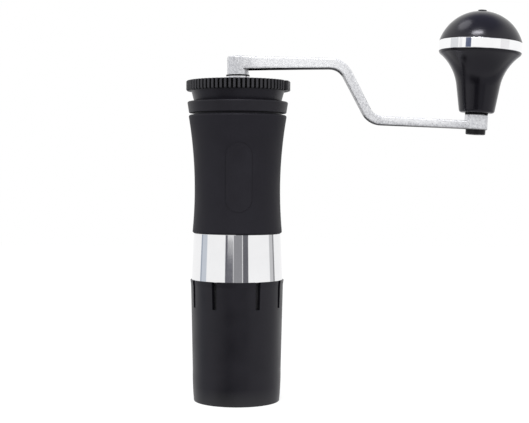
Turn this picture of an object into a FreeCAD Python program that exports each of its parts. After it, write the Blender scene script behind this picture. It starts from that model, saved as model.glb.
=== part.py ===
import FreeCAD, Part
import math
import os
import re
import Sketcher
from FreeCAD import Placement, Rotation, Vector

# A hand crank coffee grinder. A slit cup is pushed on the foot of a steel body with a waisted grip,
# a ribbed lid closes the bean hopper, and a cranked arm with a domed knob turns a conical burr.
# Millimetres, +Z up, the table at Z = 0, the grinding axis on Z, the arm along +X, the badge to -Y.

SIZES = {
    # Radial chain, from the bean hopper's bore outwards
    "hopper_radius": 22.3,
    "tube_wall": 1.5,
    "seat_step": 0.6,
    "spigot_step": 0.7,
    "band_wall": 1.5,
    "band_flare": 1.3,
    "band_edge_round": 0.3,
    # Heights of the visible tiers, from the table up
    "cup_height": 72.7,
    "band_height": 28.0,
    "grip_height": 70.4,
    "groove_height": 1.2,
    "collar_height": 6.8,
    "neck_height": 6.4,
    "lid_height": 5.9,
    "lid_boss_height": 1.5,
    # Cup
    "cup_overhang": 0.7,
    "cup_lip": 0.4,
    "cup_lip_height": 3.0,
    "cup_taper": 1.1,
    "cup_tuck": 0.8,
    "cup_heel_height": 19.2,
    "cup_heel_curve": 180.0,
    "cup_wall": 2.6,
    "cup_floor": 2.5,
    "cup_foot_round": 0.4,
    "cup_inner_round": 4.0,
    "cup_slip": 0.1,
    "cup_relief": 2.0,
    "slit_length": 16.0,
    "slit_mouth_width": 3.3,
    "slit_foot_width": 2.6,
    "slit_near_angle": 27.5,
    "slit_far_angle": 65.5,
    # Grip and badge
    "grip_wall": 1.8,
    "grip_waist_height": 25.8,
    "grip_curve": 262.0,
    "grip_edge_round": 1.0,
    "badge_width": 15.6,
    "badge_height": 41.0,
    "badge_rise": 33.3,
    "badge_depth": 1.0,
    "badge_gap": 0.15,
    "badge_turn": 3.0,
    # Collar
    "groove_land": 2.4,
    "collar_wall": 3.8,
    "collar_taper": 1.1,
    "collar_round": 0.9,
    "collar_foot_round": 0.5,
    "collar_floor": 1.6,
    "collar_spigot": 6.9,
    "collar_spigot_wall": 1.5,
    # Lid
    "lid_slip": 0.3,
    "neck_step": 2.3,
    "neck_flare": 1.7,
    "neck_wall": 2.1,
    "neck_ledge": 0.8,
    "lid_overhang": 3.0,
    "lid_plate": 2.5,
    "lid_chamfer": 0.5,
    "lid_boss_wall": 3.0,
    "rib_count": 72,
    "rib_groove_width": 1.3,
    "rib_groove_depth": 1.3,
    "notch_angle": 68.0,
    "notch_radius": 1.5,
    "nick_spread": 0.5,
    "nick_depth": 0.9,
    "lug_gap": 2.0,
    "lug_span": 24.0,
    "lug_rise": 0.6,
    "key_angle": 11.0,
    "key_width": 1.2,
    "key_height": 0.8,
    # Lid bush and drive socket
    "socket_wall": 1.1,
    "bush_wall": 0.95,
    "bush_flange": 1.0,
    "bush_flange_height": 1.4,
    "bush_length": 8.4,
    "running_gap": 0.05,
    "clip_thickness": 0.8,
    "clip_width": 1.8,
    "clip_groove": 0.4,
    "clip_play": 0.2,
    "clip_land": 0.6,
    "clip_mouth": 3.0,
    "washer_height": 0.9,
    "washer_overhang": 0.6,
    # Crank
    "hub_radius": 6.4,
    "hub_height": 11.1,
    "hub_roof": 2.1,
    "hub_round": 1.0,
    "arm_root_thickness": 8.2,
    "arm_waist_thickness": 6.1,
    "arm_tip_thickness": 4.9,
    "arm_root_width": 11.5,
    "arm_waist_width": 10.7,
    "arm_tip_width": 9.5,
    "arm_edge_round": 1.0,
    "crank_reach": 142.7,
    "crank_drop": 34.55,
    "arm_sink": 1.8,
    "bend_reach": 62.2,
    "dive_angle": 62.4,
    "arm_droop": 0.1,
    "tip_droop": 2.4,
    "upper_bend_radius": 12.2,
    "lower_bend_radius": 10.5,
    "boss_radius": 6.9,
    "boss_height": 9.0,
    "boss_round": 0.8,
    # Knob
    "knob_lean": 2.8,
    "axle_radius": 3.0,
    "axle_head_radius": 5.9,
    "axle_head_height": 3.0,
    "axle_head_round": 0.8,
    "axle_key_flats": 4.0,
    "axle_key_depth": 2.0,
    "knob_washer_radius": 6.8,
    "knob_washer_height": 0.9,
    "knob_play": 0.1,
    "knob_foot_radius": 10.4,
    "knob_foot_round": 1.8,
    "knob_stem_radius": 12.9,
    "knob_stem_height": 16.0,
    "knob_flare_curve": 29.5,
    "knob_lip_width": 1.15,
    "knob_lip_height": 1.9,
    "knob_lip_curve": 2.6,
    "knob_radius": 24.5,
    "knob_grip_height": 36.3,
    "knob_band_height": 6.3,
    "knob_band_wall": 4.5,
    "knob_band_round": 0.4,
    "knob_tenon_rise": 3.0,
    "knob_dome_height": 18.2,
    "knob_void_height": 6.0,
    "knob_shelf": 4.0,
    "knob_bush_wall": 1.6,
    "knob_bush_length": 8.0,
    "knob_well_depth": 15.0,
    "knob_well_margin": 3.0,
    "axle_nut_flats": 10.0,
    "axle_nut_height": 5.0,
    "axle_nut_play": 0.3,
    "axle_end": 1.0,
    "plug_radius": 2.6,
    "plug_rise": 0.7,
    "plug_length": 3.6,
    "plug_round": 0.4,
    # Bearings and their bridges
    "bridge_height": 6.0,
    "bridge_rim": 3.0,
    "bridge_hub_wall": 2.5,
    "spoke_count": 3,
    "spoke_width": 4.0,
    "bearing_wall": 4.0,
    "bearing_height": 5.0,
    "bearing_lip": 2.0,
    "race_wall": 1.1,
    "ball_radius": 1.3,
    "ball_gap": 0.05,
    "ball_count": 8,
    # Spindle
    "journal_radius": 4.0,
    "shaft_shoulder": 1.0,
    "shaft_flats": 6.4,
    "hex_flats": 6.5,
    "hex_start": 1.0,
    "hex_end_gap": 1.0,
    "shaft_tail": 3.0,
    # Burrs, their housing and the grind dial
    "spigot_length": 17.5,
    "tube_step": 2.5,
    "housing_wall": 3.5,
    "skirt_wall": 1.6,
    "bridge_seat_wall": 1.2,
    "throat_height": 3.0,
    "throat_ledge": 1.5,
    "burr_height": 18.0,
    "burr_ring_wall": 4.0,
    "burr_flare": 2.4,
    "burr_flare_height": 5.0,
    "burr_entry": 0.8,
    "burr_gap": 0.35,
    "burr_overhang": 1.0,
    "burr_nose_wall": 2.5,
    "burr_nose_drop": 2.0,
    "burr_belly_gap": 3.5,
    "burr_belly_height": 10.0,
    "burr_well_depth": 3.0,
    "flute_count": 7,
    "flute_depth": 2.2,
    "tooth_count": 36,
    "tooth_depth": 0.5,
    "ring_tooth_count": 20,
    "ring_tooth_radius": 0.8,
    "lock_ring_height": 3.5,
    "lock_ring_wall": 2.7,
    "lock_ring_hole_radius": 0.7,
    "lock_ring_holes": 4,
    "spring_wire": 0.9,
    "spring_turns": 3,
    "spring_clear": 0.4,
    "dial_radius": 14.0,
    "dial_height": 7.0,
    "dial_scallops": 24,
    "dial_scallop_radius": 1.2,
    "dial_round": 0.6,
}

doc = FreeCAD.newDocument("coffee_grinder")
sheet = doc.addObject("Spreadsheet::Sheet", "Sizes")
for row, (name, size) in enumerate(SIZES.items(), start=1):
    sheet.set(f"A{row}", name)
    sheet.set(f"B{row}", str(size))
    sheet.setAlias(f"B{row}", name)
doc.recompute()

# Radii worked out from the sizes
TUBE = "(hopper_radius + tube_wall)"
SEAT = "(hopper_radius + seat_step)"
SPIGOT = f"({TUBE} + spigot_step)"
BAND_HEAD = f"({SPIGOT} + band_wall)"
BAND_FOOT = f"({BAND_HEAD} + band_flare)"
CUP_RIM = f"({BAND_FOOT} + cup_overhang)"
CUP_SHOULDER = f"({CUP_RIM} - cup_lip)"
CUP_HEEL = f"({CUP_SHOULDER} - cup_taper)"
CUP_FOOT = f"({CUP_HEEL} - cup_tuck)"
CUP_BORE = f"({SPIGOT} + cup_slip)"
GRIP_WAIST = f"({TUBE} + grip_wall)"
NECK_FOOT = f"({TUBE} + neck_step)"
NECK_HEAD = f"({NECK_FOOT} + neck_flare)"
LID = f"({NECK_HEAD} + lid_overhang)"
COLLAR_MOUTH = f"({NECK_FOOT} + lid_slip)"
COLLAR_HEAD = f"({COLLAR_MOUTH} + collar_wall)"
SOCKET_FLATS = "(hex_flats + 2 * running_gap)"
SOCKET = f"({SOCKET_FLATS} / sqrt(3) + socket_wall)"
BUSH_BORE = f"({SOCKET} + running_gap)"
BUSH = f"({BUSH_BORE} + bush_wall)"
BEARING = "(journal_radius + bearing_wall)"
BALL_RING = "(journal_radius + bearing_wall / 2)"
BRIDGE_HUB = f"({BEARING} + bridge_hub_wall)"
SHAFT = "(journal_radius + shaft_shoulder)"
BORE = "(journal_radius + running_gap)"
OUTER_BURR = f"({SPIGOT} - housing_wall)"
BURR_THROAT = f"({OUTER_BURR} - burr_ring_wall)"
BURR_MOUTH = f"({BURR_THROAT} + burr_flare)"
SKIRT = f"({SPIGOT} - skirt_wall)"
LOWER_SEAT = f"({SPIGOT} - bridge_seat_wall)"
SPRING = "(journal_radius + spring_clear + spring_wire / 2)"
SPRING_WELL = f"({SPRING} + spring_wire / 2 + spring_clear)"
CONE_NOSE = f"({SPRING_WELL} + burr_nose_wall)"
CONE_THROAT = f"({BURR_THROAT} - burr_gap)"
CONE_BELLY = f"({BURR_THROAT} - burr_belly_gap)"
CONE_RIM = f"({BURR_MOUTH} - burr_gap + burr_overhang * burr_flare / burr_flare_height)"
KNOB_TENON = "(knob_radius - knob_band_wall)"
KNOB_BUSH = "(axle_radius + running_gap + knob_bush_wall)"

# Heights worked out from the sizes
SPIGOT_FOOT = "(cup_height - spigot_length)"
BAND_TOP = "(cup_height + band_height)"
HOUSING_TOP = f"({BAND_TOP} - tube_step)"
GRIP_TOP = f"({BAND_TOP} + grip_height)"
COLLAR_FOOT = f"({GRIP_TOP} + groove_height)"
COLLAR_TOP = f"({COLLAR_FOOT} + collar_height)"
COLLAR_LEDGE = f"({COLLAR_FOOT} + collar_floor)"
LID_FOOT = f"({COLLAR_TOP} + neck_height)"
LID_TOP = f"({LID_FOOT} + lid_height)"
LID_PLATE = f"({LID_TOP} - lid_plate)"
LID_BOSS_TOP = f"({LID_TOP} + lid_boss_height)"
BUSH_TOP = f"({LID_BOSS_TOP} + bush_flange_height)"
BUSH_FOOT = f"({BUSH_TOP} - bush_length)"
CLIP_TOP = f"({BUSH_FOOT} - clip_play)"
CLIP_FOOT = f"({CLIP_TOP} - clip_thickness)"
SOCKET_FOOT = f"({CLIP_FOOT} - clip_land)"
HUB_FOOT = f"({BUSH_TOP} + washer_height)"
HUB_TOP = f"({HUB_FOOT} + hub_height)"
SOCKET_TOP = f"({HUB_TOP} - hub_roof)"
ARM_Z = f"({HUB_TOP} - arm_root_thickness / 2)"
TIP_Z = f"({ARM_Z} - crank_drop)"
ARM_TIP = f"({TIP_Z} - arm_sink)"
UPPER_BRIDGE_TOP = f"({GRIP_TOP} - collar_spigot)"
UPPER_BRIDGE_FOOT = f"({UPPER_BRIDGE_TOP} - bridge_height)"
LOWER_BRIDGE_FOOT = f"({HOUSING_TOP} - bridge_height)"
UPPER_BEARING_FOOT = f"({UPPER_BRIDGE_TOP} - bearing_height)"
LOWER_BEARING_FOOT = f"({HOUSING_TOP} - bearing_height)"
BURR_TOP = f"({LOWER_BRIDGE_FOOT} - throat_height)"
BURR_FOOT = f"({BURR_TOP} - burr_height)"
NOSE_TOP = f"({BURR_TOP} - burr_nose_drop)"
SPRING_FOOT = f"({NOSE_TOP} - burr_well_depth)"
FLARE_TOP = f"({BURR_FOOT} + burr_flare_height)"
CONE_FOOT = f"({BURR_FOOT} - burr_overhang)"
DIAL_FOOT = f"({CONE_FOOT} - dial_height)"
SHAFT_FOOT = f"({DIAL_FOOT} - shaft_tail)"
SHAFT_TOP = f"({SOCKET_TOP} - hex_end_gap)"

# Heights along the knob's own axis, from the foot of its axle
BOSS_TOP = "(axle_head_height + boss_height)"
KNOB_FOOT = f"({BOSS_TOP} + knob_washer_height + knob_play)"
KNOB_LIP = f"({KNOB_FOOT} + knob_grip_height)"
KNOB_BAND_TOP = f"({KNOB_LIP} + knob_band_height)"
KNOB_TENON_TOP = f"({KNOB_BAND_TOP} + knob_tenon_rise)"
KNOB_TOP = f"({KNOB_BAND_TOP} + knob_dome_height)"
KNOB_VOID_TOP = f"({KNOB_TENON_TOP} + knob_void_height)"
KNOB_WELL = f"({KNOB_TENON_TOP} - knob_well_depth)"
AXLE_NUT_FOOT = f"({KNOB_WELL} + axle_nut_play)"
AXLE_NUT_TOP = f"({AXLE_NUT_FOOT} + axle_nut_height)"
DOME_CURVE = "((knob_radius ^ 2 + knob_dome_height ^ 2) / (2 * knob_dome_height))"

# Where the foot of the knob's axle stands, and how far a cutting shape reaches past what it cuts
AXLE_X = "(crank_reach - (axle_head_height + boss_height / 2) * sin(knob_lean))"
AXLE_Z = f"({TIP_Z} - (axle_head_height + boss_height / 2) * cos(knob_lean))"
PAST = "5"

nodes = []


def number(text):
    """The value of an expression in the sheet's sizes."""
    return float(sheet.evalExpression(text))


def bind(thing, path, text):
    """Bind a property of an object to an expression in the sheet's sizes."""
    linked = re.sub(r"[a-z_]+", lambda word: f"Sizes.{word[0]}" if word[0] in SIZES else word[0], text)
    thing.setExpression(path, linked)


def node(thing, label):
    """Give a finished piece its name and keep it for writing."""
    thing.Label = label
    nodes.append(thing)
    return thing


def pin_point(sketch, edge, end, x, y):
    """Hold one end of a sketched edge at a place given by two expressions."""
    for kind, text, axis in (("DistanceX", x, -2), ("DistanceY", y, -1)):
        if text == "0":
            sketch.addConstraint(Sketcher.Constraint("PointOnObject", edge, end, axis))
            continue
        row = sketch.addConstraint(Sketcher.Constraint(kind, -1, 1, edge, end, number(text)))
        bind(sketch, f"Constraints[{row}]", text)


def arc_middle(start, finish, radius, side):
    """The middle of the short arc between two points, with its centre to the left (1) or right (-1)."""
    chord = finish - start
    across = Vector(-chord.y, chord.x, 0).normalize() * side
    rise = (radius ** 2 - (chord.Length / 2) ** 2) ** 0.5
    return (start + finish) / 2 + across * (rise - radius)


def draw(sketch, corners, closed=True):
    """Draw lines and arcs through corners (x, y), or (x, y, radius, side) where an arc leads on."""
    spots = [Vector(number(corner[0]), number(corner[1]), 0) for corner in corners]
    count = len(corners) if closed else len(corners) - 1
    ends = []
    for index in range(count):
        start, finish = spots[index], spots[(index + 1) % len(spots)]
        if len(corners[index]) == 2:
            edge = sketch.addGeometry(Part.LineSegment(start, finish))
            ends.append((edge, 1, 2))
            continue
        radius, side = corners[index][2:]
        middle = arc_middle(start, finish, number(radius), side)
        arc = Part.Arc(start, middle, finish) if side > 0 else Part.Arc(finish, middle, start)
        edge = sketch.addGeometry(arc)
        ends.append((edge, 1, 2) if side > 0 else (edge, 2, 1))
        row = sketch.addConstraint(Sketcher.Constraint("Radius", edge, number(radius)))
        bind(sketch, f"Constraints[{row}]", radius)
    for index in range(count if closed else count - 1):
        edge, _, tail = ends[index]
        following, head, _ = ends[(index + 1) % count]
        sketch.addConstraint(Sketcher.Constraint("Coincident", edge, tail, following, head))
    for (edge, head, _), corner in zip(ends, corners):
        pin_point(sketch, edge, head, corner[0], corner[1])
    if not closed:
        edge, _, tail = ends[-1]
        pin_point(sketch, edge, tail, corners[-1][0], corners[-1][1])


def draw_circle(sketch, x, y, radius):
    """Draw one circle in a sketch."""
    centre = Vector(number(x), number(y), 0)
    edge = sketch.addGeometry(Part.Circle(centre, Vector(0, 0, 1), number(radius)))
    pin_point(sketch, edge, 3, x, y)
    row = sketch.addConstraint(Sketcher.Constraint("Radius", edge, number(radius)))
    bind(sketch, f"Constraints[{row}]", radius)


def new_body(label, keep=True):
    """A body that becomes one named piece, or only helps to make one."""
    body = doc.addObject("PartDesign::Body", label)
    return node(body, label) if keep else body


def origin_feature(body, role):
    """One of the body's own planes or axes."""
    return next(feature for feature in body.Origin.OriginFeatures if feature.Role == role)


def sketch_on(body, plane, shift=None, axis=None, angle=None):
    """A sketch on one of the body's planes, moved and turned within that plane's own frame."""
    sketch = body.newObject("Sketcher::SketchObject", f"{body.Name}_sketch")
    sketch.AttachmentSupport = [(origin_feature(body, plane), "")]
    sketch.MapMode = "FlatFace"
    if axis:
        sketch.AttachmentOffset = Placement(Vector(0, 0, 0), Rotation(axis, number(angle)))
        bind(sketch, ".AttachmentOffset.Rotation.Angle", angle)
    for letter, text in (shift or {}).items():
        bind(sketch, f".AttachmentOffset.Base.{letter}", text)
    return sketch


def finish_cut(body, feature):
    """Recompute a cut and make sure that it took something away."""
    before = feature.BaseFeature.Shape.Volume
    doc.recompute()
    if not feature.Shape.Volume < before:
        raise RuntimeError(f"{feature.Name} cuts nothing from {body.Label}")
    return feature


def turn_sketch(body, kind, sketch):
    """Turn a sketch once about its upright axis, to add (Revolution) or take away (Groove)."""
    feature = body.newObject(f"PartDesign::{kind}", f"{body.Name}_{kind.lower()}")
    feature.Profile = sketch
    feature.ReferenceAxis = (sketch, ["V_Axis"])
    feature.Angle = 360
    if kind == "Groove":
        return finish_cut(body, feature)
    doc.recompute()
    return feature


def turned(label, outline, keep=True):
    """A body turned about Z from an outline of (radius, height)."""
    body = new_body(label, keep)
    sketch = sketch_on(body, "XZ_Plane")
    draw(sketch, outline)
    turn_sketch(body, "Revolution", sketch)
    return body


def cut_turn(body, outline):
    """Turn an outline about Z and take it away from a body."""
    sketch = sketch_on(body, "XZ_Plane")
    draw(sketch, outline)
    return turn_sketch(body, "Groove", sketch)


def pocket(body, sketch, reversed_way=True, length=None):
    """Cut a sketch right through a body, or to a length, along the sketch's normal."""
    feature = body.newObject("PartDesign::Pocket", f"{body.Name}_pocket")
    feature.Profile = sketch
    feature.Reversed = reversed_way
    if length:
        bind(feature, "Length", length)
    else:
        feature.Type = "ThroughAll"
    return finish_cut(body, feature)


def pad(body, sketch, length):
    """Raise a sketch along its normal."""
    feature = body.newObject("PartDesign::Pad", f"{body.Name}_pad")
    feature.Profile = sketch
    bind(feature, "Length", length)
    doc.recompute()
    return feature


def spread(body, feature, count):
    """Repeat a feature evenly round Z."""
    pattern = body.newObject("PartDesign::PolarPattern", f"{body.Name}_pattern")
    pattern.Originals = [feature]
    pattern.Axis = (origin_feature(body, "Z_Axis"), [""])
    pattern.Angle = 360
    bind(pattern, "Occurrences", count)
    body.Tip = pattern
    doc.recompute()
    return pattern


def rim_names(body, places):
    """The names of the body's round edges about Z at the given (radius, height) places."""
    wanted = [(number(radius), number(height)) for radius, height in places]
    names = []
    for index, edge in enumerate(body.Tip.Shape.Edges, start=1):
        if not isinstance(edge.Curve, Part.Circle):
            continue
        centre = edge.Curve.Center
        for radius, height in wanted:
            if abs(edge.Curve.Radius - radius) < 1e-4 and abs(centre.z - height) < 1e-4:
                names.append(f"Edge{index}")
    return names


def dress(body, kind, size, places):
    """Fillet or chamfer round edges of a body."""
    base = body.Tip
    names = rim_names(body, places)
    feature = body.newObject(f"PartDesign::{kind}", f"{body.Name}_{kind.lower()}")
    feature.Base = (base, names)
    bind(feature, "Radius" if kind == "Fillet" else "Size", size)
    doc.recompute()
    return feature


def ring(inner, outer, foot, top):
    """The outline of a plain ring."""
    return [(inner, foot), (outer, foot), (outer, top), (inner, top)]


def hexagon(flats):
    """The corners of a hexagon across given flats, with no corner on an axis."""
    reach = f"{flats} / sqrt(3)"
    return [(f"{reach} * cos({angle})", f"{reach} * sin({angle})") for angle in range(15, 375, 60)]


def box_outline(left, right, near, far):
    """The corners of a rectangle in a sketch."""
    return [(left, near), (right, near), (right, far), (left, far)]


def on_knob_axis(thing):
    """Stand a piece on the knob's leaning axis."""
    thing.Placement = Placement(Vector(0, 0, 0), Rotation(Vector(0, 1, 0), number("knob_lean")))
    bind(thing, ".Placement.Rotation.Angle", "knob_lean")
    bind(thing, ".Placement.Base.x", AXLE_X)
    bind(thing, ".Placement.Base.z", AXLE_Z)
    return thing


def make_cup():
    body = turned("grounds_cup", [
        ("0", "0"),
        (CUP_FOOT, "0", "cup_heel_curve", 1),
        (CUP_HEEL, "cup_heel_height"),
        (CUP_SHOULDER, "cup_height - cup_lip_height"),
        (CUP_RIM, "cup_height"),
        (CUP_BORE, "cup_height"),
        (CUP_BORE, f"{SPIGOT_FOOT} - cup_relief"),
        (f"{CUP_HEEL} - cup_wall", "cup_heel_height"),
        (f"{CUP_FOOT} - cup_wall", "cup_floor"),
        ("0", "cup_floor"),
    ])
    dress(body, "Fillet", "cup_foot_round", [(CUP_FOOT, "0")])
    dress(body, "Fillet", "cup_inner_round", [(f"{CUP_FOOT} - cup_wall", "cup_floor")])
    slit = [
        ("-slit_mouth_width / 2", "cup_height"),
        ("-slit_foot_width / 2", "cup_height - slit_length"),
        ("slit_foot_width / 2", "cup_height - slit_length"),
        ("slit_mouth_width / 2", "cup_height"),
    ]
    for turn in (1, -1):
        for angle in ("slit_near_angle", "slit_far_angle", "180 - slit_near_angle", "180 - slit_far_angle"):
            sketch = sketch_on(body, "XZ_Plane", axis=Vector(0, turn, 0), angle=angle)
            draw(sketch, slit)
            pocket(body, sketch)


def make_body_tube():
    body = turned("body_tube", [
        (SPIGOT, "cup_height"),
        (BAND_FOOT, "cup_height"),
        (BAND_HEAD, BAND_TOP),
        (TUBE, BAND_TOP),
        (TUBE, GRIP_TOP),
        (SEAT, GRIP_TOP),
        (SEAT, UPPER_BRIDGE_FOOT),
        ("hopper_radius", UPPER_BRIDGE_FOOT),
        ("hopper_radius", HOUSING_TOP),
        (SPIGOT, HOUSING_TOP),
    ])
    dress(body, "Fillet", "band_edge_round", [(BAND_FOOT, "cup_height"), (BAND_HEAD, BAND_TOP)])


def grip_radius(offset, drop):
    """The radius of the waisted curve, offset inwards, at a height above or below its waist."""
    return f"({GRIP_WAIST} + grip_curve - sqrt((grip_curve + {offset}) ^ 2 - ({drop}) ^ 2))"


def grip_shell(label, inner, outer):
    """A turned shell between two offsets of the waisted curve."""
    above = "grip_height - grip_waist_height"
    return turned(label, [
        (grip_radius(inner, "grip_waist_height"), BAND_TOP),
        (grip_radius(outer, "grip_waist_height"), BAND_TOP, f"grip_curve + {outer}", -1),
        (grip_radius(outer, above), GRIP_TOP),
        (grip_radius(inner, above), GRIP_TOP, f"grip_curve + {inner}", 1),
    ], keep=False)


def badge_prism(label, inset):
    """A long upright oval prism through the front of the grip."""
    body = new_body(label, keep=False)
    sketch = sketch_on(body, "XZ_Plane", axis=Vector(0, 1, 0), angle="badge_turn")
    middle = f"({BAND_TOP} + badge_rise)"
    half = f"(badge_width / 2 - {inset})"
    straight = "(badge_height / 2 - badge_width / 2)"
    draw(sketch, [
        (half, f"{middle} - {straight}"),
        (half, f"{middle} + {straight}", half, 1),
        ("0", f"{middle} + {straight} + {half}", half, 1),
        (f"-{half}", f"{middle} + {straight}"),
        (f"-{half}", f"{middle} - {straight}", half, 1),
        ("0", f"{middle} - {straight} - {half}", half, 1),
    ])
    pad(body, sketch, f"{GRIP_WAIST} + {PAST}")
    return body


def make_grip():
    above = "grip_height - grip_waist_height"
    foot = grip_radius("0", "grip_waist_height")
    head = grip_radius("0", above)
    blank = turned("grip_blank", [
        (TUBE, BAND_TOP),
        (foot, BAND_TOP, "grip_curve", -1),
        (head, GRIP_TOP),
        (TUBE, GRIP_TOP),
    ], keep=False)
    dress(blank, "Fillet", "grip_edge_round", [(foot, BAND_TOP), (head, GRIP_TOP)])
    recess = doc.addObject("Part::Common", "badge_recess")
    recess.Base = grip_shell("badge_recess_shell", "badge_depth", "-badge_depth")
    recess.Tool = badge_prism("badge_recess_prism", "0")
    grip = node(doc.addObject("Part::Cut", "grip_sleeve"), "grip_sleeve")
    grip.Base = blank
    grip.Tool = recess
    badge = node(doc.addObject("Part::Common", "grip_badge"), "grip_badge")
    badge.Base = grip_shell("badge_shell", "badge_depth", "0")
    badge.Tool = badge_prism("badge_prism", "badge_gap")
    doc.recompute()


def make_collar():
    land = f"{TUBE} + groove_land"
    foot = f"{COLLAR_HEAD} - collar_taper"
    bore = f"{SEAT} - collar_spigot_wall"
    body = turned("hopper_collar", [
        (bore, UPPER_BRIDGE_TOP),
        (SEAT, UPPER_BRIDGE_TOP),
        (SEAT, GRIP_TOP),
        (land, GRIP_TOP),
        (land, COLLAR_FOOT),
        (foot, COLLAR_FOOT),
        (COLLAR_HEAD, COLLAR_TOP),
        (COLLAR_MOUTH, COLLAR_TOP),
        (COLLAR_MOUTH, COLLAR_LEDGE),
        (bore, COLLAR_LEDGE),
    ])
    dress(body, "Fillet", "collar_round", [(COLLAR_HEAD, COLLAR_TOP)])
    dress(body, "Fillet", "collar_foot_round", [(foot, COLLAR_FOOT)])
    half = "(key_width / 2 + lid_slip)"
    slot = sketch_on(body, "XY_Plane", {"z": COLLAR_LEDGE}, Vector(0, 0, 1), "key_angle")
    draw(slot, box_outline(f"-{half}", half, f"-({COLLAR_MOUTH} + key_height)", f"-{NECK_FOOT}"))
    pocket(body, slot)


def make_lid():
    socket = f"({NECK_HEAD} - neck_ledge)"
    boss = f"({BUSH} + lid_boss_wall)"
    body = turned("hopper_lid", [
        (BUSH, LID_PLATE),
        (socket, LID_PLATE),
        (socket, LID_FOOT),
        (LID, LID_FOOT),
        (LID, LID_TOP),
        (boss, LID_TOP),
        (boss, LID_BOSS_TOP),
        (BUSH, LID_BOSS_TOP),
    ])
    dress(body, "Chamfer", "lid_chamfer", [(LID, LID_FOOT), (LID, LID_TOP), (boss, LID_BOSS_TOP)])
    groove = sketch_on(body, "XY_Plane")
    draw(groove, box_outline(f"{LID} - rib_groove_depth", f"{LID} + {PAST}",
                             "-rib_groove_width / 2", "rib_groove_width / 2"))
    spread(body, pocket(body, groove), "rib_count")
    middle = "notch_angle + lug_gap + lug_span / 2"
    lug = sketch_on(body, "XY_Plane", {"z": LID_FOOT}, Vector(0, 0, 1), middle)
    root, face = f"({LID} - 2 * rib_groove_depth)", f"({LID} + lug_rise)"
    draw(lug, [
        (f"-{face} * sin(lug_span / 2)", f"-{face} * cos(lug_span / 2)", face, 1),
        (f"{face} * sin(lug_span / 2)", f"-{face} * cos(lug_span / 2)"),
        (f"{root} * sin(lug_span / 2)", f"-{root} * cos(lug_span / 2)"),
        (f"-{root} * sin(lug_span / 2)", f"-{root} * cos(lug_span / 2)"),
    ])
    pad(body, lug, "lid_height")
    dress(body, "Chamfer", "lid_chamfer", [(face, LID_FOOT), (face, LID_TOP)])
    notch = sketch_on(body, "XY_Plane", axis=Vector(0, 0, 1), angle="notch_angle")
    draw_circle(notch, "0", f"-{LID}", "notch_radius")
    pocket(body, notch)
    nick = sketch_on(body, "XY_Plane", {"z": LID_TOP}, Vector(0, 0, 1), "notch_angle")
    draw_circle(nick, "0", f"-{LID}", "notch_radius + nick_spread")
    pocket(body, nick, False, "nick_depth")

    neck = turned("lid_neck", [
        (f"{NECK_FOOT} - neck_wall", COLLAR_LEDGE),
        (NECK_FOOT, COLLAR_LEDGE),
        (NECK_FOOT, COLLAR_TOP),
        (NECK_HEAD, LID_FOOT),
        (socket, LID_FOOT),
        (socket, LID_PLATE),
        (f"{NECK_FOOT} - neck_wall", LID_PLATE),
    ])
    key = sketch_on(neck, "XY_Plane", {"z": COLLAR_LEDGE}, Vector(0, 0, 1), "key_angle")
    draw(key, box_outline("-key_width / 2", "key_width / 2",
                          f"-({NECK_FOOT} + key_height)", f"-({NECK_FOOT} - neck_wall / 2)"))
    pad(neck, key, "collar_height - collar_floor")

    turned("lid_bush", [
        (BUSH_BORE, BUSH_FOOT),
        (BUSH, BUSH_FOOT),
        (BUSH, LID_BOSS_TOP),
        (f"{BUSH} + bush_flange", LID_BOSS_TOP),
        (f"{BUSH} + bush_flange", BUSH_TOP),
        (BUSH_BORE, BUSH_TOP),
    ])


def make_drive_socket():
    groove = f"({SOCKET} - clip_groove)"
    body = turned("drive_socket", [
        ("0", SOCKET_FOOT),
        (SOCKET, SOCKET_FOOT),
        (SOCKET, CLIP_FOOT),
        (groove, CLIP_FOOT),
        (groove, CLIP_TOP),
        (SOCKET, CLIP_TOP),
        (SOCKET, SOCKET_TOP),
        ("0", SOCKET_TOP),
    ])
    hole = sketch_on(body, "XY_Plane")
    draw(hole, hexagon(SOCKET_FLATS))
    pocket(body, hole)
    clip = turned("socket_clip", ring(groove, f"{groove} + clip_width", CLIP_FOOT, CLIP_TOP))
    mouth = sketch_on(clip, "XY_Plane")
    draw(mouth, box_outline("-clip_mouth / 2", "clip_mouth / 2", "0", f"{groove} + clip_width + {PAST}"))
    pocket(clip, mouth)
    turned("hub_washer", ring(SOCKET, "hub_radius + washer_overhang", BUSH_TOP, HUB_FOOT))


def arm_path():
    """The arm's centre line: level run, steep dive and lower run, with a tangent arc at each bend."""
    bend_z = f"({ARM_Z} - bend_reach * tan(arm_droop))"
    slope = "(tan(dive_angle) - tan(tip_droop))"
    low_x = (f"(({bend_z} - {ARM_TIP} + bend_reach * tan(dive_angle) - crank_reach * tan(tip_droop))"
             f" / {slope})")
    low_z = f"({ARM_TIP} + (crank_reach - {low_x}) * tan(tip_droop))"
    upper = "(upper_bend_radius * tan((dive_angle - arm_droop) / 2))"
    lower = "(lower_bend_radius * tan((dive_angle - tip_droop) / 2))"
    return [
        ("0", ARM_Z),
        (f"bend_reach - {upper} * cos(arm_droop)", f"{bend_z} + {upper} * sin(arm_droop)",
         "upper_bend_radius", -1),
        (f"bend_reach + {upper} * cos(dive_angle)", f"{bend_z} - {upper} * sin(dive_angle)"),
        (f"{low_x} - {lower} * cos(dive_angle)", f"{low_z} + {lower} * sin(dive_angle)",
         "lower_bend_radius", 1),
        (f"{low_x} + {lower} * cos(tip_droop)", f"{low_z} - {lower} * sin(tip_droop)"),
        ("crank_reach", ARM_TIP),
    ]


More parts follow.
